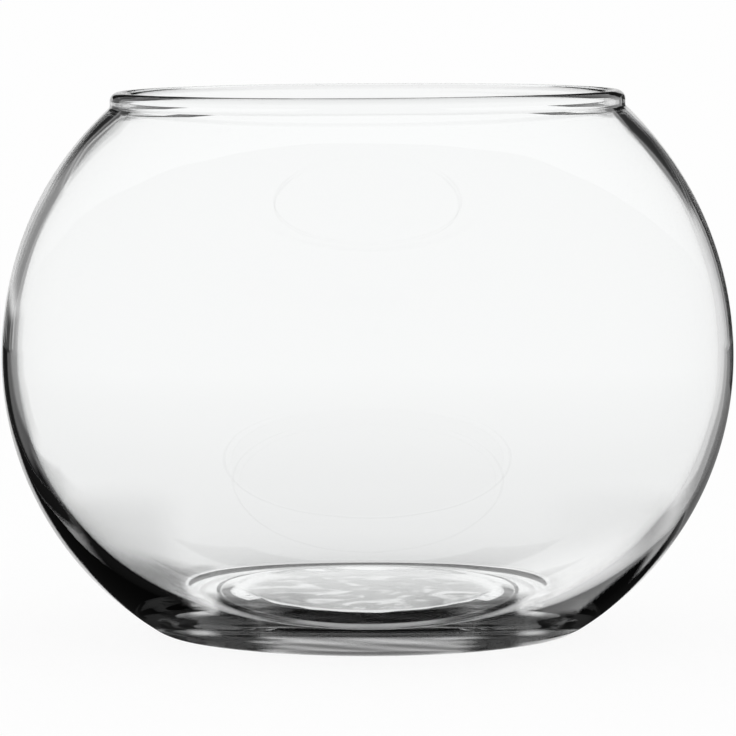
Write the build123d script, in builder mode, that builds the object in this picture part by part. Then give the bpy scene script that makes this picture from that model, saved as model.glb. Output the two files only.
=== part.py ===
# Rose bowl vase: a round clear glass bowl with a drawn-in mouth, a fire-polished lip and a pushed-up floor.
# The whole vessel is one gather of glass, blown in a mould, so it is one solid, revolved from its section.
# Millimetres, +Z up. The origin is on the bowl's axis, on the surface that it stands on.

import math
import os

from build123d import *

# Outside form
overall_height = 113.0  # table to the crest of the lip
belly_diameter = 152.0  # widest place
belly_height = 57.5  # table to the widest place
foot_diameter = 85.2  # where the belly's curve meets the table, before the corner is rounded
heel_round = 8.0  # corner between the belly and the foot

# Lip
lip_diameter = 106.8  # outside of the upright lip
lip_thickness = 3.3
crest_outer_round = 1.9  # the crest falls off more gently on the outside, and takes up the rest inside
lip_rise = 3.2  # crest of the lip above the neck, where the shoulder ends
lip_depth_inside = 4.4  # crest of the lip down to the ridge where the inside opens out
neck_round = 0.8  # hollow corner between the shoulder and the lip
ridge_round = 0.5  # inner edge below the lip

# Inside form
belly_wall = 3.1  # wall at the widest place
floor_height = 3.7  # table to the inside floor where it is lowest, along the wall
floor_diameter = 72.9  # where the inside wall meets the floor, before the corner is rounded
inner_heel_round = 9.0  # hollow corner between the inside wall and the floor
moat_width = 3.85  # low ring of the floor, between the wall and the pushed-up middle
kick_rise = 1.4  # rise of the pushed-up middle above the low ring
kick_slope_width = 5.2  # slope from the low ring up to the middle, as seen from above
kick_foot_round = 2.5  # hollow corner at the foot of that slope
kick_top_round = 14.0  # edge at the top of that slope

# Underside
bearing_ring_width = 10.6  # flat ring that the bowl stands on, from the foot's edge inwards
bearing_ring_round = 0.4  # inner edge of that ring
hollow_depth = 1.0  # hollow under the base, at its side
hollow_crown = 0.3  # further rise of the hollow's roof at the axis
hollow_draft = 45.0  # lean of the hollow's side, in degrees from upright
hollow_round = 0.4  # corner between the hollow's side and its roof

# Radii and heights of the section's corners
belly_radius = belly_diameter / 2
foot_radius = foot_diameter / 2
bearing_radius = foot_radius - bearing_ring_width
hollow_radius = bearing_radius - hollow_depth * math.tan(math.radians(hollow_draft))
lip_outer_radius = lip_diameter / 2
lip_inner_radius = lip_outer_radius - lip_thickness
crest_inner_round = lip_thickness - crest_outer_round
neck_height = overall_height - lip_rise
ridge_height = overall_height - lip_depth_inside
inside_radius = belly_radius - belly_wall
floor_radius = floor_diameter / 2
kick_foot_radius = floor_radius - moat_width
kick_top_radius = kick_foot_radius - kick_slope_width
kick_height = floor_height + kick_rise

hollow_roof = (0, hollow_depth + hollow_crown)
hollow_corner = (hollow_radius, hollow_depth)
bearing_corner = (bearing_radius, 0)
foot_corner = (foot_radius, 0)
outside_belly = (belly_radius, belly_height)
neck_corner = (lip_outer_radius, neck_height)
lip_outside = (lip_outer_radius, overall_height - crest_outer_round)
lip_crest = (lip_inner_radius + crest_inner_round, overall_height)
lip_inside = (lip_inner_radius, overall_height - crest_inner_round)
ridge_corner = (lip_inner_radius, ridge_height)
inside_belly = (inside_radius, belly_height)
floor_edge = (floor_radius, floor_height)
kick_foot = (kick_foot_radius, floor_height)
kick_top = (kick_top_radius, kick_height)
floor_middle = (0, kick_height)

upward = (0, 1)
downward = (0, -1)
outward = (1, 0)

with BuildPart() as glass_bowl:
    with BuildSketch(Plane.XZ) as section:
        with BuildLine():
            # Underside, from the axis out to the foot
            TangentArc(hollow_roof, hollow_corner, tangent=outward)
            Polyline(hollow_corner, bearing_corner, foot_corner)
            # Outside wall, which stands upright at the widest place
            TangentArc(outside_belly, foot_corner, tangent=downward)
            TangentArc(outside_belly, neck_corner, tangent=upward)
            # Lip with its rounded crest
            Line(neck_corner, lip_outside)
            TangentArc(lip_outside, lip_crest, tangent=upward)
            TangentArc(lip_inside, lip_crest, tangent=upward)
            Line(lip_inside, ridge_corner)
            # Inside wall and floor, which is pushed up in the middle
            TangentArc(inside_belly, ridge_corner, tangent=upward)
            TangentArc(inside_belly, floor_edge, tangent=downward)
            Polyline(floor_edge, kick_foot, kick_top, floor_middle, hollow_roof)
        make_face()
        for corner, round_radius in (
            (hollow_corner, hollow_round),
            (bearing_corner, bearing_ring_round),
            (foot_corner, heel_round),
            (neck_corner, neck_round),
            (ridge_corner, ridge_round),
            (floor_edge, inner_heel_round),
            (kick_foot, kick_foot_round),
            (kick_top, kick_top_round),
        ):
            fillet(section.vertices().sort_by_distance(corner)[0], radius=round_radius)
    revolve(axis=Axis.Z)

glass_bowl.part.label = "glass_bowl"

os.makedirs("parts", exist_ok=True)
export_step(glass_bowl.part, "parts/glass_bowl.step")
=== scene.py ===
# Looks of a clear glass rose bowl vase: the blown glass, and a white studio with cards and boards of
# painted shade and light round it, which only the glass shows.
# Metres, +Z up, the bowl's axis on Z and its base on the floor. The camera looks along +Y.

import math
from functools import partial

import bpy
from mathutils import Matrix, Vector


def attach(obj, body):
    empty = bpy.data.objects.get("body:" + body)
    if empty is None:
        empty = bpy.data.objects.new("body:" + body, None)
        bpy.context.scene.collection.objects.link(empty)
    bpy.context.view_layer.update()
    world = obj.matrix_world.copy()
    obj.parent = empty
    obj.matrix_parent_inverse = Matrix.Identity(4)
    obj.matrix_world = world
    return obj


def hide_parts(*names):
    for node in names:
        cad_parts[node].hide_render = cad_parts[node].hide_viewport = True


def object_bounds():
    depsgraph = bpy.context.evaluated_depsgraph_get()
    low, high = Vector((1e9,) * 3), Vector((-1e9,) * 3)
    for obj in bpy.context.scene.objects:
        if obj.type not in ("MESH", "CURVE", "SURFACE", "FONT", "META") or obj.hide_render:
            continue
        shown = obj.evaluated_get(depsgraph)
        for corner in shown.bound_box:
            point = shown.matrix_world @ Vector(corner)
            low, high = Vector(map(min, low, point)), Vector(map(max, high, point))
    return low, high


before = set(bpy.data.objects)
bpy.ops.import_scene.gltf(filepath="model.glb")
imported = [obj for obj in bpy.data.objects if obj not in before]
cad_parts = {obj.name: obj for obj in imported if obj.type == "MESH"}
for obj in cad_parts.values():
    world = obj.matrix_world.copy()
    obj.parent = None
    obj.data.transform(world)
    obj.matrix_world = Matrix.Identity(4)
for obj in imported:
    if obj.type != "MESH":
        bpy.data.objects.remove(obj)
cad_low, cad_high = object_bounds()

MM = 0.001

# Section of the bowl, in millimetres
BELLY_HEIGHT = 57.5
FOOT_DIAMETER = 85.2
HEEL_ROUND = 8.0
LIP_DIAMETER = 106.8
LIP_THICKNESS = 3.3
CREST_OUTER_ROUND = 1.9
LIP_RISE = 3.2
LIP_DEPTH_INSIDE = 4.4
NECK_ROUND = 0.8
RIDGE_ROUND = 0.5
BELLY_WALL = 3.1
FLOOR_HEIGHT = 3.7
FLOOR_DIAMETER = 72.9
INNER_HEEL_ROUND = 9.0
KICK_RISE = 1.4
KICK_DIAMETER = 65.2
KICK_TOP_DIAMETER = 54.8
KICK_FOOT_ROUND = 2.5
KICK_ROUND = 14.0
BEARING_RING_WIDTH = 10.6
BEARING_RING_ROUND = 0.4
HOLLOW_DEPTH = 1.0
HOLLOW_CROWN = 0.3
HOLLOW_DRAFT = math.radians(45)
HOLLOW_ROUND = 0.4

# Fineness of the mesh: segments round the bowl, and steps along each stretch of the section
SEGMENTS = 280
WALL_STEPS = 40
FOOT_WALL_STEPS = 46
ROOF_STEPS = 40
FLOOR_STEPS = 30
INNER_HEEL_STEPS = 16
ROUND_STEPS = 9
CREST_OUTER_STEPS = 9
CREST_INNER_STEPS = 8
LIP_OUTSIDE_STEPS = 4
LIP_INSIDE_STEPS = 5
MOAT_STEPS = 4
STRAIGHT_STEPS = 6
ROUND_CLEARANCE = 1.1  # points within this many trims of a rounded corner are left out
MERGE_DISTANCE = 1e-6

# Marks of hand and mould that the blown glass keeps, in millimetres
RIM_DROP = 0.6
RIM_WAVE = 0.18
WALL_WAVE = 0.10
WRINKLE_DEPTH = 0.06
# Where they are, as shares of the rim's height and radius and of the wrinkled base's radius
RIM_MARKS_FROM = 0.75
WALL_MARKS_FROM = 0.9
WALL_MARKS_FULL = 1.2
WRINKLES_FADE_FROM = 0.72
# Scale of their noise: on a circle of radius 1 for the rim, and in metres for the others
RIM_WAVES = 1.7
WALL_WAVES = 38.0
WRINKLES = 110.0
MARKS_DETAIL = 1.0
# Seed, and steps from it to the wall's marks and from the underside's wrinkles to the floor's
MARKS_SEED = 4.0
WALL_SEED_STEP = 11.0
FLOOR_SEED_STEP = 5.0

# Glass
GLASS_COLOUR = (0.993, 0.998, 0.997, 1)
GLASS_IOR = 1.52
GLASS_HAZE = 0.006
HAZE_SCALE = 60.0
HAZE_DETAIL = 2.0
HAZE_FROM = 0.5
HAZE_FULL = 0.75

# Camera
CAMERA_DISTANCE = 1.1224
CAMERA_ELEVATION = math.radians(4.61)
CAMERA_TURNS_ABOUT = Vector((0.00009, 0.0, 0.05576))
CAMERA_AIM = Vector((0.00009, 0.0, 0.05491))
CAMERA_REACH = 50.0
SENSOR_WIDTH = 36.0
LENS = 263.9

# Kinds of light, by the times it was mirrored and the glass faces that it has passed.
# Light that was never mirrored comes straight through. The kinds of mirrored light have passed more faces
# than the first number here and fewer than the second: on the outer face, inside the near wall, either of
# these, past the near wall, or any.
FACES_PASSED = {
    "face": (-0.5, 0.5),
    "inside": (0.5, 2.5),
    "near": (-0.5, 2.5),
    "far": (2.5, 99.5),
    "mirrored": (-0.5, 99.5),
}
NEVER_MIRRORED = 0.5
LIGHT_TURNS = 12
# Light that was mirrored more often than this goes round and round in the glass. The room, floor and cards
# that it meets show as painted shade, nearly dark.
TRAPPED_TURNS = 8.5
TRAPPED_NEAR_TURNS = 3.5
TRAPPED_LIGHT = 0.03

# White room and floor, with shade and light painted on them that the glass shows
WHITE = (1, 1, 1, 1)
PAPER_COLOUR = (0.9, 0.9, 0.9, 1)
FLOOR_HALF = 15.0
FLOOR_LIFT = -0.0005
FLOOR_GLOW = 0.9
# Painted shade in reflections: what the near wall mirrors of the white room and floor is this much darker
MIRRORED_ROOM_SHADE = 0.78
MIRRORED_ROOM_SHADE_FROM = 0.055  # distances from the bowl's axis over which the mirrored floor is painted darker, down to this shade
MIRRORED_ROOM_SHADE_FULL = 0.120
# Painted shade that the glass shows of the floor round the bowl: distance from the bowl's axis in metres,
# tone
FLOOR_SHADE = [
    (0.000, 0.36),
    (0.022, 0.38),
    (0.032, 0.46),
    (0.044, 0.66),
    (0.060, 0.74),
    (0.090, 0.80),
    (0.160, 0.85),
    (0.300, 0.90),
    (0.600, 0.96),
]
# Painted light marks on the floor, for the light that the wrinkled base throws on it
WRINKLE_LIGHT = 0.9
WRINKLE_LIGHT_SCALE = 95.0
WRINKLE_LIGHT_DETAIL = 2.5
WRINKLE_LIGHT_DISTORTION = 1.6
WRINKLE_LIGHT_FROM = 0.45
WRINKLE_LIGHT_FULL = 0.66
WRINKLE_LIGHT_RADIUS = 0.032
WRINKLE_LIGHT_FULL_RADIUS = 0.022

# Boards of painted shade and light just under the bowl's base, above the floor
BOARD_LIFT = -0.0001
BOARD_RINGS = 180
BOARD_SPOKES = 180
FOOT_DARK = 0.008
# Rings of painted shade under the foot: inner and outer radius and soft edge in millimetres, strength
FOOT_RINGS = [
    (33.0, 35.3, 0.4, 1.00),
    (35.3, 36.8, 0.4, 0.78),
    (36.8, 39.2, 0.4, 0.86),
    (39.2, 41.6, 0.4, 0.66),
    (41.6, 47.0, 0.5, 1.00),
]

# Standing cards of painted reflection, dark or grey, that only the glass shows: the light that shows them,
# azimuth from and to in degrees from straight behind, with left negative, low and high z, tone, soft edge
CARD_DISTANCE = 0.9
STANDING_CARDS = [
    # Left edge of the bowl, from the belly up to the shoulder
    ("near", -33.0, -17.5, -0.02, 0.06, 0.06, 0.025),
    ("near", -43.0, -32.5, -0.02, 0.09, 0.36, 0.025),
    ("near", -37.0, -22.0, 0.06, 0.31, 0.28, 0.025),
    ("near", -25.0, -12.5, 0.17, 0.41, 0.02, 0.025),
    ("near", -36.0, -25.0, 0.30, 0.53, 0.25, 0.025),
    # Right edge of the bowl, from the belly up to the shoulder
    ("near", 13.0, 26.0, -0.02, 0.20, 0.03, 0.025),
    ("near", 25.5, 32.0, -0.02, 0.24, 0.60, 0.025),
    ("near", 15.5, 31.5, 0.18, 0.43, 0.03, 0.025),
    # Painted pale grey reflection beside both edges, for the sides of the room
    ("near", -80.0, -34.0, -0.02, 0.60, 0.80, 0.25),
    ("near", 27.0, 80.0, -0.02, 0.60, 0.80, 0.25),
    # Crest of the lip
    ("face", -26.0, 26.0, 0.26, 0.74, 0.02, 0.050),
    # Inside of the bowl, the high card for the slope of the pushed-up floor
    ("far", -11.0, -2.5, 0.19, 0.35, 0.02, 0.040),
    ("far", 2.5, 11.0, 0.19, 0.35, 0.02, 0.040),
    ("far", -30.0, 30.0, 0.62, 1.20, 0.02, 0.060),
]
# Lying cards of painted shade on the floor, which only the glass shows: the light that shows them, floor
# points of the left and right edge from near to far, tone
LYING_CARDS = [
    (
        "face",
        [
            (-0.028, -0.050), (-0.048, -0.039), (-0.078, -0.013), (-0.102, 0.008),
            (-0.130, 0.046), (-0.206, 0.165), (-0.55, 0.83),
        ],
        [
            (-0.020, -0.040), (-0.030, -0.020), (-0.045, 0.005), (-0.068, 0.034),
            (-0.090, 0.080), (-0.140, 0.210), (-0.25, 0.83),
        ],
        0.01,
    ),
    (
        "near",
        [(-0.165, 0.070), (-0.205, 0.120), (-0.290, 0.217), (-0.410, 0.385), (-0.78, 0.83)],
        [(-0.125, 0.070), (-0.145, 0.120), (-0.180, 0.217), (-0.250, 0.385), (-0.44, 0.83)],
        0.32,
    ),
    (
        "inside",
        [
            (-0.098, -0.010), (-0.128, 0.026), (-0.141, 0.070), (-0.165, 0.120),
            (-0.208, 0.217), (-0.298, 0.385), (-0.52, 0.83),
        ],
        [
            (-0.070, -0.010), (-0.074, 0.026), (-0.077, 0.070), (-0.080, 0.120),
            (-0.085, 0.217), (-0.090, 0.385), (-0.09, 0.83),
        ],
        0.01,
    ),
    (
        "face",
        [(0.022, -0.042), (0.030, -0.020), (0.045, 0.005), (0.066, 0.034), (0.084, 0.066)],
        [(0.030, -0.050), (0.042, -0.029), (0.062, -0.005), (0.084, 0.028), (0.104, 0.058)],
        0.01,
    ),
    (
        "near",
        [(0.070, 0.030), (0.075, 0.075), (0.080, 0.135), (0.090, 0.300), (0.10, 0.83)],
        [(0.098, 0.030), (0.116, 0.075), (0.155, 0.135), (0.235, 0.300), (0.50, 0.83)],
        0.24,
    ),
    ("face", [(0.15, 0.45), (0.21, 0.83)], [(0.24, 0.45), (0.42, 0.83)], 0.03),
]
CARD_LIFT = 0.0004
CARD_STEPS = 16
LYING_SOFT_EDGE = 0.004
LYING_SOFT_WIDTH = 0.03  # the soft edges grow with the card where it is wider than this


# Points of the section


def arc_about(centre, start, end, steps):
    """Points of the circular arc about a centre, from start to end."""
    spoke = start - centre
    turn = spoke.angle_signed(end - centre)
    points = []
    for step in range(steps + 1):
        angle = -turn * step / steps
        cosine = math.cos(angle)
        sine = math.sin(angle)
        points.append(centre + Vector((spoke.x * cosine - spoke.y * sine, spoke.x * sine + spoke.y * cosine)))
    return points


def wall_centre(belly, end):
    """Centre of the wall's arc, which stands upright at the widest place."""
    run = belly.x - end.x
    rise = end.y - belly.y
    return Vector((belly.x - (run * run + rise * rise) / (2 * run), belly.y))


def wall_arc(belly, end, steps):
    """Points from the widest place to the end of the wall."""
    return arc_about(wall_centre(belly, end), belly, end, steps)


def spread(count):
    """Shares from 0 to 1, close together at both ends."""
    return [(1 - math.cos(math.pi * step / count)) / 2 for step in range(count + 1)]


def straight(start, end, steps=STRAIGHT_STEPS):
    """Points of a straight stretch, close together at its ends, where it meets a round."""
    return [start.lerp(end, share) for share in spread(steps)]


def round_corner(before, after, radius):
    """Joins two runs of points that meet at a corner by a round of the given radius."""
    corner = before[-1]
    back = (before[-2] - corner).normalized()
    ahead = (after[1] - corner).normalized()
    half = back.angle(ahead) / 2
    trim = radius / math.tan(half)
    centre = corner + (back + ahead).normalized() * (radius / math.sin(half))
    bend = arc_about(centre, corner + back * trim, corner + ahead * trim, ROUND_STEPS)
    clear = trim * ROUND_CLEARANCE
    kept_before = [point for point in before if (point - corner).length > clear]
    kept_after = [point for point in after if (point - corner).length > clear]
    return kept_before + bend + kept_after


def inner_heel(inside, floor_edge):
    """Points down the inside wall and round its hollow corner to the flat floor."""
    centre = wall_centre(inside, floor_edge)
    wall_radius = inside.x - centre.x
    bend_height = floor_edge.y + INNER_HEEL_ROUND
    reach = wall_radius - INNER_HEEL_ROUND
    bend_centre = Vector((centre.x + math.sqrt(reach**2 - (centre.y - bend_height) ** 2), bend_height))
    wall_end = centre + (bend_centre - centre).normalized() * wall_radius
    bend = arc_about(bend_centre, wall_end, Vector((bend_centre.x, floor_edge.y)), INNER_HEEL_STEPS)
    return arc_about(centre, inside, wall_end, WALL_STEPS) + bend[1:]


def bowl_section():
    """Half of the bowl's section, from the axis under the base, round the lip, to the axis on the floor."""
    belly_radius = min(cad_high.x, cad_high.y, -cad_low.x, -cad_low.y) / MM
    height = cad_high.z / MM
    foot = Vector((FOOT_DIAMETER / 2, 0.0))
    bearing = Vector((foot.x - BEARING_RING_WIDTH, 0.0))
    hollow = Vector((bearing.x - HOLLOW_DEPTH * math.tan(HOLLOW_DRAFT), HOLLOW_DEPTH))
    roof = Vector((0.0, HOLLOW_DEPTH + HOLLOW_CROWN))
    roof_radius = (hollow.x**2 + HOLLOW_CROWN**2) / (2 * HOLLOW_CROWN)
    belly = Vector((belly_radius, BELLY_HEIGHT))
    lip_outer = LIP_DIAMETER / 2
    lip_inner = lip_outer - LIP_THICKNESS
    crest_inner_round = LIP_THICKNESS - CREST_OUTER_ROUND
    neck = Vector((lip_outer, height - LIP_RISE))
    lip_outside = Vector((lip_outer, height - CREST_OUTER_ROUND))
    crest = Vector((lip_inner + crest_inner_round, height))
    lip_inside = Vector((lip_inner, height - crest_inner_round))
    ridge = Vector((lip_inner, height - LIP_DEPTH_INSIDE))
    inside = Vector((belly_radius - BELLY_WALL, BELLY_HEIGHT))
    floor_edge = Vector((FLOOR_DIAMETER / 2, FLOOR_HEIGHT))
    kick = Vector((KICK_DIAMETER / 2, FLOOR_HEIGHT))
    kick_top = Vector((KICK_TOP_DIAMETER / 2, FLOOR_HEIGHT + KICK_RISE))
    floor_middle = Vector((0.0, FLOOR_HEIGHT + KICK_RISE))

    path = arc_about(Vector((0.0, roof.y - roof_radius)), roof, hollow, ROOF_STEPS)
    path = round_corner(path, straight(hollow, bearing), HOLLOW_ROUND)
    path = round_corner(path, straight(bearing, foot), BEARING_RING_ROUND)
    path = round_corner(path, wall_arc(belly, foot, FOOT_WALL_STEPS)[::-1], HEEL_ROUND)
    path += wall_arc(belly, neck, WALL_STEPS)[1:]
    path = round_corner(path, straight(neck, lip_outside, LIP_OUTSIDE_STEPS), NECK_ROUND)
    path += arc_about(Vector((crest.x, lip_outside.y)), lip_outside, crest, CREST_OUTER_STEPS)[1:]
    path += arc_about(Vector((crest.x, lip_inside.y)), crest, lip_inside, CREST_INNER_STEPS)[1:]
    path += straight(lip_inside, ridge, LIP_INSIDE_STEPS)[1:]
    path = round_corner(path, wall_arc(inside, ridge, WALL_STEPS)[::-1], RIDGE_ROUND)
    path += inner_heel(inside, floor_edge)[1:]
    path += straight(path[-1], kick, MOAT_STEPS)[1:]
    path = round_corner(path, straight(kick, kick_top), KICK_FOOT_ROUND)
    return round_corner(path, straight(kick_top, floor_middle, FLOOR_STEPS), KICK_ROUND)


def section_mesh(points):
    """The section as a chain of edges in the XZ plane, marked where it is the inside of the bowl."""
    mesh = bpy.data.meshes.new("bowl_section")
    edges = [(index, index + 1) for index in range(len(points) - 1)]
    mesh.from_pydata([(point.x * MM, 0.0, point.y * MM) for point in points], edges, [])
    crest = max(range(len(points)), key=lambda index: points[index].y)
    inside = mesh.attributes.new("inside", "FLOAT", "POINT")
    inside.data.foreach_set("value", [float(index > crest) for index in range(len(points))])
    return mesh


# Nodes that the bowl's tree and the materials share


def feed(tree, socket, value):
    """Gives a socket another node's output, or a plain value."""
    if isinstance(value, bpy.types.NodeSocket):
        tree.links.new(value, socket)
    else:
        socket.default_value = value


def maths(tree, operation, first, second=0.0):
    node = tree.nodes.new("ShaderNodeMath")
    node.operation = operation
    feed(tree, node.inputs[0], first)
    feed(tree, node.inputs[1], second)
    return node.outputs[0]


def map_range(tree, value, low, high, to_low=0.0, to_high=1.0, smooth=False):
    """Carries a value from one range to another, and holds it at the ends."""
    node = tree.nodes.new("ShaderNodeMapRange")
    node.interpolation_type = "SMOOTHSTEP" if smooth else "LINEAR"
    for name, given in (
        ("Value", value),
        ("From Min", low),
        ("From Max", high),
        ("To Min", to_low),
        ("To Max", to_high),
    ):
        feed(tree, node.inputs[name], given)
    return node.outputs["Result"]


def noise(tree, vector, scale, detail, distortion=0.0, slice_at=None):
    """Smooth noise from 0 to 1, in a slice of its own where one is given."""
    node = tree.nodes.new("ShaderNodeTexNoise")
    if slice_at is not None:
        node.noise_dimensions = "4D"
        feed(tree, node.inputs["W"], slice_at)
    feed(tree, node.inputs["Vector"], vector)
    feed(tree, node.inputs["Scale"], scale)
    feed(tree, node.inputs["Detail"], detail)
    feed(tree, node.inputs["Distortion"], distortion)
    return node.outputs[0]


def mix_colours(tree, share, first, second):
    node = tree.nodes.new("ShaderNodeMix")
    node.data_type = "RGBA"
    feed(tree, node.inputs["Factor"], share)
    feed(tree, node.inputs["A"], first)
    feed(tree, node.inputs["B"], second)
    return node.outputs["Result"]


def mix_shaders(tree, share, first, second):
    node = tree.nodes.new("ShaderNodeMixShader")
    for socket, value in zip(node.inputs, (share, first, second)):
        tree.links.new(value, socket)
    return node.outputs[0]


def emission(tree, colour, strength):
    node = tree.nodes.new("ShaderNodeEmission")
    feed(tree, node.inputs["Color"], colour)
    feed(tree, node.inputs["Strength"], strength)
    return node.outputs[0]


# Bowl


def clear_glass():
    """Clear glass, whose polish is a little hazy in places, where the mould has chilled it."""
    material = bpy.data.materials.new("clear_glass")
    material.use_nodes = True
    tree = material.node_tree
    shader = tree.nodes["Principled BSDF"]
    shader.inputs["Base Color"].default_value = GLASS_COLOUR
    shader.inputs["Transmission Weight"].default_value = 1.0
    shader.inputs["IOR"].default_value = GLASS_IOR
    place = tree.nodes.new("ShaderNodeTexCoord").outputs["Object"]
    patches = noise(tree, place, HAZE_SCALE, HAZE_DETAIL)
    haze = map_range(tree, patches, HAZE_FROM, HAZE_FULL, 0.0, GLASS_HAZE)
    tree.links.new(haze, shader.inputs["Roughness"])
    return material


def blown_tree():
    """Geometry Nodes tree that turns a section about Z and gives it the unevenness of blown glass."""
    tree = bpy.data.node_groups.new("blown_glass", "GeometryNodeTree")
    sockets = [
        ("Section", "NodeSocketGeometry"),
        ("Segments", "NodeSocketInt"),
        ("Rim Height", "NodeSocketFloat"),
        ("Rim Radius", "NodeSocketFloat"),
        ("Rim Drop", "NodeSocketFloat"),
        ("Rim Wave", "NodeSocketFloat"),
        ("Wall Wave", "NodeSocketFloat"),
        ("Wrinkle Depth", "NodeSocketFloat"),
        ("Wrinkle Radius", "NodeSocketFloat"),
        ("Seed", "NodeSocketFloat"),
        ("Glass", "NodeSocketMaterial"),
    ]
    for name, kind in sockets:
        tree.interface.new_socket(name, in_out="INPUT", socket_type=kind)
    tree.interface.new_socket("Bowl", in_out="OUTPUT", socket_type="NodeSocketGeometry")
    given = tree.nodes.new("NodeGroupInput").outputs
    result = tree.nodes.new("NodeGroupOutput")

    plus = partial(maths, tree, "ADD")
    minus = partial(maths, tree, "SUBTRACT")
    times = partial(maths, tree, "MULTIPLY")
    over = partial(maths, tree, "DIVIDE")
    remainder = partial(maths, tree, "MODULO")

    def unevenness(vector, scale, slice_at):
        return minus(noise(tree, vector, scale, MARKS_DETAIL, slice_at=slice_at), 0.5)

    def from_section(value, kind):
        node = tree.nodes.new("GeometryNodeSampleIndex")
        node.data_type = kind
        feed(tree, node.inputs["Geometry"], given["Section"])
        feed(tree, node.inputs["Value"], value)
        feed(tree, node.inputs["Index"], along)
        return node.outputs["Value"]

    def vector_of(x, y, z):
        node = tree.nodes.new("ShaderNodeCombineXYZ")
        for socket, value in zip(node.inputs, (x, y, z)):
            feed(tree, socket, value)
        return node.outputs["Vector"]

    def step(kind, geometry, **values):
        node = tree.nodes.new(kind)
        feed(tree, node.inputs["Geometry"], geometry)
        for name, value in values.items():
            feed(tree, node.inputs[name], value)
        return node.outputs[0]

    # A grid of points, each with its place along the section and its angle round the axis
    count = step("GeometryNodeAttributeDomainSize", given["Section"])
    grid = tree.nodes.new("GeometryNodeMeshGrid")
    feed(tree, grid.inputs["Vertices X"], plus(given["Segments"], 1))
    feed(tree, grid.inputs["Vertices Y"], count)
    index = tree.nodes.new("GeometryNodeInputIndex").outputs["Index"]
    along = remainder(index, count)
    around = remainder(maths(tree, "FLOOR", over(index, count)), given["Segments"])
    angle = times(over(around, given["Segments"]), math.tau)
    across = maths(tree, "COSINE", angle)
    deep = maths(tree, "SINE", angle)

    # The section's own point there
    position = tree.nodes.new("GeometryNodeInputPosition").outputs["Position"]
    apart = tree.nodes.new("ShaderNodeSeparateXYZ")
    feed(tree, apart.inputs[0], from_section(position, "FLOAT_VECTOR"))
    radius = apart.outputs["X"]
    height = apart.outputs["Z"]
    mark = tree.nodes.new("GeometryNodeInputNamedAttribute")
    mark.data_type = "FLOAT"
    mark.inputs["Name"].default_value = "inside"
    inside = from_section(mark.outputs["Attribute"], "FLOAT")
    even_x = times(radius, across)
    even_y = times(radius, deep)

    # The rim drops to one side and goes up and down a little
    marks_from = times(given["Rim Height"], RIM_MARKS_FROM)
    near_rim = map_range(tree, height, marks_from, given["Rim Height"], smooth=True)
    drop = times(given["Rim Drop"], times(minus(across, 1.0), 0.5))
    swell = unevenness(vector_of(across, deep, 0.0), RIM_WAVES, given["Seed"])
    wave = times(given["Rim Wave"], minus(swell, 0.5))
    lowered = times(near_rim, plus(drop, wave))

    # The inside of the wall runs a little thick and thin
    wall_from = times(given["Rim Radius"], WALL_MARKS_FROM)
    wall_full = times(given["Rim Radius"], WALL_MARKS_FULL)
    on_wall = times(inside, map_range(tree, radius, wall_from, wall_full, smooth=True))
    thin = unevenness(vector_of(even_x, even_y, height), WALL_WAVES, plus(given["Seed"], WALL_SEED_STEP))
    moved = times(times(on_wall, given["Wall Wave"]), thin)

    # The chilled base wrinkles, above and below
    fade_from = times(given["Wrinkle Radius"], WRINKLES_FADE_FROM)
    on_base = minus(1.0, map_range(tree, radius, fade_from, given["Wrinkle Radius"], smooth=True))
    sheet = plus(given["Seed"], times(inside, FLOOR_SEED_STEP))
    crumple = unevenness(vector_of(even_x, even_y, 0.0), WRINKLES, sheet)
    wrinkle = times(times(on_base, given["Wrinkle Depth"]), crumple)

    reach = plus(radius, moved)
    level = plus(height, plus(lowered, wrinkle))
    place = vector_of(times(reach, across), times(reach, deep), level)
    bowl = step("GeometryNodeSetPosition", grid.outputs["Mesh"], Position=place)
    bowl = step("GeometryNodeMergeByDistance", bowl, Distance=MERGE_DISTANCE)
    bowl = step("GeometryNodeSetShadeSmooth", bowl)
    bowl = step("GeometryNodeRealizeInstances", bowl)
    bowl = step("GeometryNodeSetMaterial", bowl, Material=given["Glass"])
    feed(tree, result.inputs["Bowl"], bowl)
    return tree


def blown_bowl(glass):
    """The bowl as a plain mesh."""
    bowl = bpy.data.objects.new("blown_glass_bowl", section_mesh(bowl_section()))
    bpy.context.scene.collection.objects.link(bowl)
    modifier = bowl.modifiers.new("blown_glass", "NODES")
    modifier.node_group = blown_tree()
    values = {
        "Segments": SEGMENTS,
        "Rim Height": cad_high.z,
        "Rim Radius": LIP_DIAMETER / 2 * MM,
        "Rim Drop": RIM_DROP * MM,
        "Rim Wave": RIM_WAVE * MM,
        "Wall Wave": WALL_WAVE * MM,
        "Wrinkle Depth": WRINKLE_DEPTH * MM,
        "Wrinkle Radius": (FOOT_DIAMETER / 2 - BEARING_RING_WIDTH - HOLLOW_DEPTH) * MM,
        "Seed": MARKS_SEED,
        "Glass": glass,
    }
    for item in modifier.node_group.interface.items_tree:
        if item.name in values:
            modifier[item.identifier] = values[item.name]
    shown = bowl.evaluated_get(bpy.context.evaluated_depsgraph_get())
    mesh = bpy.data.meshes.new_from_object(shown)
    bowl.modifiers.remove(modifier)
    bowl.data = mesh
    return bowl


# White room and floor, with shade and light painted on them that the glass shows


def light_mask(tree, light):
    """1 in one kind of light, and 0 in the rest."""
    path = tree.nodes.new("ShaderNodeLightPath")
    turns = path.outputs["Glossy Depth"]
    faces = path.outputs["Transmission Depth"]
    if light == "through":
        return maths(tree, "LESS_THAN", turns, NEVER_MIRRORED)
    mirrored = maths(tree, "GREATER_THAN", turns, NEVER_MIRRORED)
    passed_more, passed_fewer = FACES_PASSED[light]
    more = maths(tree, "GREATER_THAN", faces, passed_more)
    fewer = maths(tree, "LESS_THAN", faces, passed_fewer)
    return maths(tree, "MULTIPLY", mirrored, maths(tree, "MULTIPLY", more, fewer))


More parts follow.
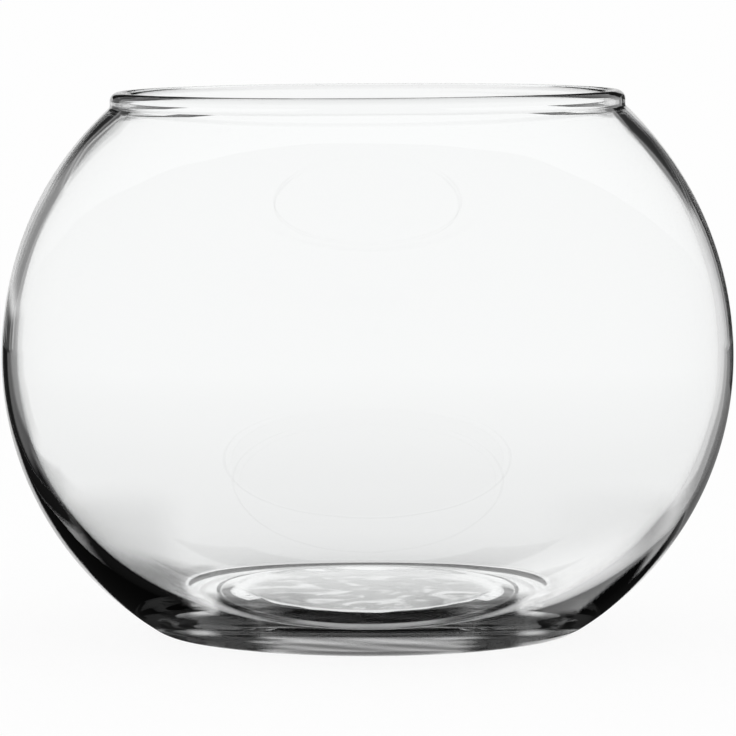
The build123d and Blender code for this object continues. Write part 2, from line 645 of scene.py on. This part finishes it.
def trapped_strength(tree):
    """1, but nearly dark, as painted shade, for light trapped in the glass, which takes fewer turns in the
    near wall.
    """
    path = tree.nodes.new("ShaderNodeLightPath")
    in_near_wall = maths(tree, "LESS_THAN", path.outputs["Transmission Depth"], FACES_PASSED["near"][1])
    sooner = maths(tree, "MULTIPLY", in_near_wall, TRAPPED_TURNS - TRAPPED_NEAR_TURNS)
    turns = maths(tree, "ADD", path.outputs["Glossy Depth"], sooner)
    trapped = maths(tree, "GREATER_THAN", turns, TRAPPED_TURNS)
    return map_range(tree, trapped, 0.0, 1.0, 1.0, TRAPPED_LIGHT)


def white_world():
    """White all round, with a painted shade a little darker where the near wall mirrors it."""
    world = bpy.data.worlds.new("white_studio")
    bpy.context.scene.world = world
    world.use_nodes = True
    tree = world.node_tree
    background = tree.nodes["Background"]
    room = mix_colours(tree, light_mask(tree, "near"), WHITE, (MIRRORED_ROOM_SHADE, MIRRORED_ROOM_SHADE, MIRRORED_ROOM_SHADE, 1))
    tree.links.new(room, background.inputs["Color"])
    tree.links.new(trapped_strength(tree), background.inputs["Strength"])


def bare_material(name):
    """A material with an empty tree, and the socket for its surface."""
    material = bpy.data.materials.new(name)
    material.use_nodes = True
    tree = material.node_tree
    tree.nodes.clear()
    return material, tree, tree.nodes.new("ShaderNodeOutputMaterial").inputs["Surface"]


def distance_from_axis(tree, place):
    flat = tree.nodes.new("ShaderNodeVectorMath")
    flat.operation = "MULTIPLY"
    flat.inputs[1].default_value = (1, 1, 0)
    tree.links.new(place, flat.inputs[0])
    length = tree.nodes.new("ShaderNodeVectorMath")
    length.operation = "LENGTH"
    tree.links.new(flat.outputs["Vector"], length.inputs[0])
    return length.outputs["Value"]


def floor_shade(tree, distance):
    """The painted shade that the glass shows of the floor round the bowl, by its distance from the axis."""
    reach = FLOOR_SHADE[-1][0]
    shade = tree.nodes.new("ShaderNodeValToRGB")
    stops = shade.color_ramp.elements
    while len(stops) < len(FLOOR_SHADE):
        stops.new(0.5)
    for stop, (radius, tone) in zip(stops, FLOOR_SHADE):
        stop.position = radius / reach
        stop.color = (tone, tone, tone, 1)
    tree.links.new(maths(tree, "DIVIDE", distance, reach), shade.inputs["Fac"])
    return shade.outputs["Color"]


def wrinkle_light(tree, place, distance, tone):
    """The floor's tone with painted light marks, for the light that the wrinkled base throws on it."""
    marks = noise(tree, place, WRINKLE_LIGHT_SCALE, WRINKLE_LIGHT_DETAIL, WRINKLE_LIGHT_DISTORTION)
    light = map_range(tree, marks, WRINKLE_LIGHT_FROM, WRINKLE_LIGHT_FULL, 0.0, WRINKLE_LIGHT, smooth=True)
    under = map_range(tree, distance, WRINKLE_LIGHT_RADIUS, WRINKLE_LIGHT_FULL_RADIUS, smooth=True)
    return mix_colours(tree, maths(tree, "MULTIPLY", light, under), tone, WHITE)


def floor_material():
    """White paper: nearly white and softly shaded to the camera, and painted darker round the foot in the
    glass.
    """
    material, tree, surface = bare_material("pale_floor")
    path = tree.nodes.new("ShaderNodeLightPath").outputs
    lit = tree.nodes.new("ShaderNodeBsdfDiffuse")
    lit.inputs["Color"].default_value = PAPER_COLOUR
    glowing = maths(tree, "MULTIPLY", path["Is Camera Ray"], FLOOR_GLOW)
    paper = mix_shaders(tree, glowing, lit.outputs[0], emission(tree, WHITE, 1.0))

    place = tree.nodes.new("ShaderNodeTexCoord").outputs["Object"]
    distance = distance_from_axis(tree, place)
    through_tone = wrinkle_light(tree, place, distance, floor_shade(tree, distance))
    away = map_range(tree, distance, MIRRORED_ROOM_SHADE_FROM, MIRRORED_ROOM_SHADE_FULL, 0.0, 1.0 - MIRRORED_ROOM_SHADE)
    dimmed = maths(tree, "MULTIPLY", away, light_mask(tree, "near"))
    mirrored_tone = maths(tree, "SUBTRACT", 1.0, dimmed)
    tone = mix_colours(tree, light_mask(tree, "mirrored"), through_tone, mirrored_tone)
    in_glass = maths(tree, "MAXIMUM", path["Is Glossy Ray"], path["Is Transmission Ray"])
    shown = mix_shaders(tree, in_glass, paper, emission(tree, tone, trapped_strength(tree)))
    tree.links.new(shown, surface)
    return material


def pale_floor():
    mesh = bpy.data.meshes.new("pale_floor")
    corners = [(-1, -1), (1, -1), (1, 1), (-1, 1)]
    mesh.from_pydata([(x * FLOOR_HALF, y * FLOOR_HALF, 0) for x, y in corners], [], [(0, 1, 2, 3)])
    mesh.materials.append(floor_material())
    floor = bpy.data.objects.new("pale_floor", mesh)
    floor.location.z = FLOOR_LIFT
    bpy.context.scene.collection.objects.link(floor)


# Cards and boards of painted shade and light


def painted_shade_and_light(light):
    """Painted shade or light: a glow as bright as its tone, that fades out to its edges and shows in one kind
    of light.
    """
    material, tree, surface = bare_material(f"{light}_felt")
    cover = tree.nodes.new("ShaderNodeAttribute")
    cover.attribute_name = "cover"
    tone = tree.nodes.new("ShaderNodeAttribute")
    tone.attribute_name = "tone"
    share = maths(tree, "MULTIPLY", cover.outputs["Fac"], light_mask(tree, light))
    clear = tree.nodes.new("ShaderNodeBsdfTransparent").outputs[0]
    painted_tone = emission(tree, tone.outputs["Fac"], trapped_strength(tree))
    tree.links.new(mix_shaders(tree, share, clear, painted_tone), surface)
    return material


def stage_board(name, rows, covers, tone, painted_tone):
    """A board of painted shade or light that only the glass shows: rows of points, and how far its paint
    covers at each.
    """
    count = len(rows[0])
    faces = []
    for row in range(len(rows) - 1):
        for column in range(count - 1):
            first = row * count + column
            faces.append((first, first + 1, first + count + 1, first + count))
    mesh = bpy.data.meshes.new(name)
    mesh.from_pydata([point for row in rows for point in row], [], faces)
    cover = mesh.attributes.new("cover", "FLOAT", "POINT")
    cover.data.foreach_set("value", [value for row in covers for value in row])
    tones = mesh.attributes.new("tone", "FLOAT", "POINT")
    tones.data.foreach_set("value", [tone] * len(mesh.vertices))
    mesh.materials.append(painted_tone)
    board = bpy.data.objects.new(name, mesh)
    bpy.context.scene.collection.objects.link(board)
    board.visible_camera = False
    board.visible_diffuse = False
    board.visible_shadow = False


def smoothstep(low, high, value):
    """0 up to low, 1 from high on, and a smooth rise between them."""
    share = min(1.0, max(0.0, (value - low) / (high - low)))
    return share * share * (3 - 2 * share)


def between(low, high, soft, value):
    """1 from low to high, and 0 outside them, with soft ends."""
    return smoothstep(low - soft, low + soft, value) * (1 - smoothstep(high - soft, high + soft, value))


def standing_card(name, azimuth_from, azimuth_to, low, high, tone, soft, painted_tone):
    """An upright card, bent round the bowl's axis at the cards' distance."""
    rows = []
    covers = []
    wide = math.radians(azimuth_to - azimuth_from) * CARD_DISTANCE
    tall = high - low
    for v in spread(CARD_STEPS):
        row = []
        cover = []
        for u in spread(CARD_STEPS):
            azimuth = math.radians(azimuth_from + (azimuth_to - azimuth_from) * u)
            row.append((CARD_DISTANCE * math.sin(azimuth), CARD_DISTANCE * math.cos(azimuth), low + tall * v))
            inwards = min(min(u, 1 - u) * wide, min(v, 1 - v) * tall)
            cover.append(smoothstep(0.0, soft, inwards))
        rows.append(row)
        covers.append(cover)
    stage_board(name, rows, covers, tone, painted_tone)


def lying_card(name, left, right, tone, height, painted_tone):
    """A card on the floor between two edges. One of more than two points a side fades in at its near end."""
    rows = []
    covers = []
    for number, (left_point, right_point) in enumerate(zip(left, right)):
        start = Vector((*left_point, height))
        end = Vector((*right_point, height))
        wide = (end - start).length
        soft = LYING_SOFT_EDGE * max(1.0, wide / LYING_SOFT_WIDTH)
        strength = 0.0 if number == 0 and len(left) > 2 else 1.0
        shares = spread(CARD_STEPS)
        rows.append([start.lerp(end, u) for u in shares])
        covers.append([strength * smoothstep(0.0, soft, min(u, 1 - u) * wide) for u in shares])
    stage_board(name, rows, covers, tone, painted_tone)


# Painted shade and light of the boards, as shares from 0 to 1. Radius is in millimetres from the bowl's
# axis, turn in degrees from the front, with left negative, and so are the numbers that say where a shade
# begins and ends.


def front_shade(radius, turn, start, full):
    """Painted shade on the floor in front of the foot, which sets in from the start to the full radius."""
    deep = smoothstep(start, full, radius) * (1 - smoothstep(54.0, 74.0, radius))
    return deep * (1 - smoothstep(20.0, 36.0, abs(turn)))


def through_shade(radius, turn):
    """Painted shade that shows straight through the glass: under the foot's front and sides, and on the left.
    """
    aside = abs(turn)
    crescent = between(23.5, 29.5, 1.0, radius) * (1 - smoothstep(60.0, 85.0, aside))
    ring = between(29.5, 35.0, 0.7, radius) * between(28.0, 82.0, 6.0, aside)
    front_ring = between(33.4, 37.0, 0.5, radius) * between(12.0, 40.0, 4.0, aside)
    left = between(41.5, 84.0, 1.5, radius) * (1 - smoothstep(48.0, 74.0, radius))
    fading = 0.2 * smoothstep(96.0, 104.0, -turn) + 0.4 * smoothstep(106.0, 116.0, -turn)
    fading += 0.4 * smoothstep(116.0, 128.0, -turn)
    left *= smoothstep(66.0, 76.0, -turn) * (1 - fading)
    wedge = 0.55 * between(41.5, 48.0, 2.0, radius) * between(100.0, 128.0, 5.0, -turn)
    return max(crescent, ring, front_ring, left, wedge)


def through_light(radius, turn):
    """Painted light that shows straight through the glass: under the sides of the foot, and on the right."""
    aside = abs(turn)
    under = between(26.0, 39.0, 1.5, radius) * between(84.0, 145.0, 8.0, aside)
    streak = between(36.5, 42.0, 0.8, radius) * between(46.0, 84.0, 8.0, aside)
    right = smoothstep(43.0, 46.0, radius) * (1 - smoothstep(80.0, 120.0, radius))
    right *= between(40.0, 130.0, 15.0, turn)
    return max(0.8 * under, 0.9 * streak, 0.5 * right)


def inside_shade(radius, turn):
    """Painted shade mirrored inside the glass: rings under the foot, and beyond it in front and on both
    sides.
    """
    aside = abs(turn)
    rings = sum(strength * between(low, high, soft, radius) for low, high, soft, strength in FOOT_RINGS)
    rings += 0.12 * between(35.3, 41.4, 0.4, radius) * math.sin(0.23 * turn + 2.1 * radius)
    under = between(33.0, 51.5 - 6.0 * smoothstep(42.0, 47.0, aside), 0.8, radius)
    # The rings have ragged ends, where the plain shade takes over
    ragged = aside + 5.0 * math.sin(3.3 * radius) + 2.5 * math.sin(1.9 * radius + math.copysign(1.0, turn))
    foot = min(1.0, rings + (under - rings) * smoothstep(26.0, 34.0, ragged))
    foot *= 1 - smoothstep(70.0, 100.0, aside)
    sides = 1 - smoothstep(96.0, 120.0, aside)
    left = smoothstep(44.0, 60.0, -turn) * sides * (1 - smoothstep(88.0, 114.0, radius))
    right = smoothstep(40.0, 60.0, turn) * sides * between(70.0, 100.0, 12.0, radius)
    streak = between(41.7, 42.9, 0.4, radius) * between(49.0, 60.0, 4.0, aside)
    return max(foot, front_shade(radius, turn, 45.0, 47.0), left, 0.6 * right) * (1 - 0.6 * streak)


def face_shade(radius, turn):
    """Painted shade that the face of the glass mirrors: in front, on the left and in a band on the right."""
    left = smoothstep(45.0, 49.0, radius) * (1 - smoothstep(88.0, 114.0, radius))
    left *= smoothstep(44.0, 60.0, -turn) * (1 - smoothstep(98.0, 112.0, -turn))
    near_left = between(43.5, 50.5, 1.0, radius) * between(32.0, 52.0, 3.0, -turn)
    beside = between(42.0, 58.0, 1.5, radius) * between(28.0, 46.0, 4.0, abs(turn))
    behind = max(0.0, turn - 66.0)
    band = between(45.0 + 0.15 * behind, 52.5 + 0.85 * behind, 1.5, radius)
    right = band * between(30.0, 98.0, 4.0, turn)
    return max(front_shade(radius, turn, 46.0, 49.0), left, near_left, beside, right)


def ring_board(name, shade, inner, outer, tone, height, painted_tone):
    """A flat ring round the bowl's axis, with its radii in millimetres, covered as its shade says."""
    angles = [math.tau * spoke / BOARD_SPOKES for spoke in range(BOARD_SPOKES + 1)]
    turns = [math.degrees(math.atan2(math.sin(angle), -math.cos(angle))) for angle in angles]
    rows = []
    covers = []
    for ring in range(BOARD_RINGS + 1):
        radius = inner + (outer - inner) * ring / BOARD_RINGS
        reach = radius * MM
        rows.append([(reach * math.sin(angle), reach * math.cos(angle), height) for angle in angles])
        covers.append([shade(radius, turn) for turn in turns])
    stage_board(name, rows, covers, tone, painted_tone)


def cards_and_boards():
    painted_tones = {light: painted_shade_and_light(light) for light in ("through", "near", "inside", "face", "far")}
    # Shade, the light that shows it, inner and outer radius in millimetres, tone, layer under the bowl's base
    boards = [
        (through_light, "through", 20.0, 120.0, 1.0, 4),
        (through_shade, "through", 20.0, 90.0, FOOT_DARK, 1),
        (inside_shade, "inside", 28.0, 116.0, FOOT_DARK, 2),
        (face_shade, "face", 38.0, 116.0, FOOT_DARK, 3),
    ]
    for shade, light, inner, outer, tone, layer in boards:
        ring_board(shade.__name__, shade, inner, outer, tone, BOARD_LIFT * layer, painted_tones[light])
    for number, (light, *values) in enumerate(STANDING_CARDS):
        standing_card(f"standing_card_{number}", *values, painted_tones[light])
    for number, (light, left, right, tone) in enumerate(LYING_CARDS):
        lying_card(f"lying_card_{number}", left, right, tone, CARD_LIFT * (1 + number), painted_tones[light])


# Camera and studio


def photo_camera():
    """A camera at the photograph's viewing angle."""
    data = bpy.data.cameras.new("camera")
    data.lens = LENS
    data.sensor_width = SENSOR_WIDTH
    data.clip_end = CAMERA_REACH
    camera = bpy.data.objects.new("camera", data)
    bpy.context.scene.collection.objects.link(camera)
    away = Vector((0.0, -math.cos(CAMERA_ELEVATION), math.sin(CAMERA_ELEVATION)))
    camera.location = CAMERA_TURNS_ABOUT + away * CAMERA_DISTANCE
    camera.rotation_euler = (CAMERA_AIM - camera.location).to_track_quat("-Z", "Y").to_euler()
    bpy.context.scene.camera = camera


def studio():
    scene = bpy.context.scene
    scene.view_settings.view_transform = "Standard"
    scene.cycles.glossy_bounces = LIGHT_TURNS
    scene.cycles.max_bounces = 2 * LIGHT_TURNS
    white_world()
    pale_floor()
    cards_and_boards()
    photo_camera()


bowl = blown_bowl(clear_glass())
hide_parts("glass_bowl")
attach(bowl, "root")
studio()
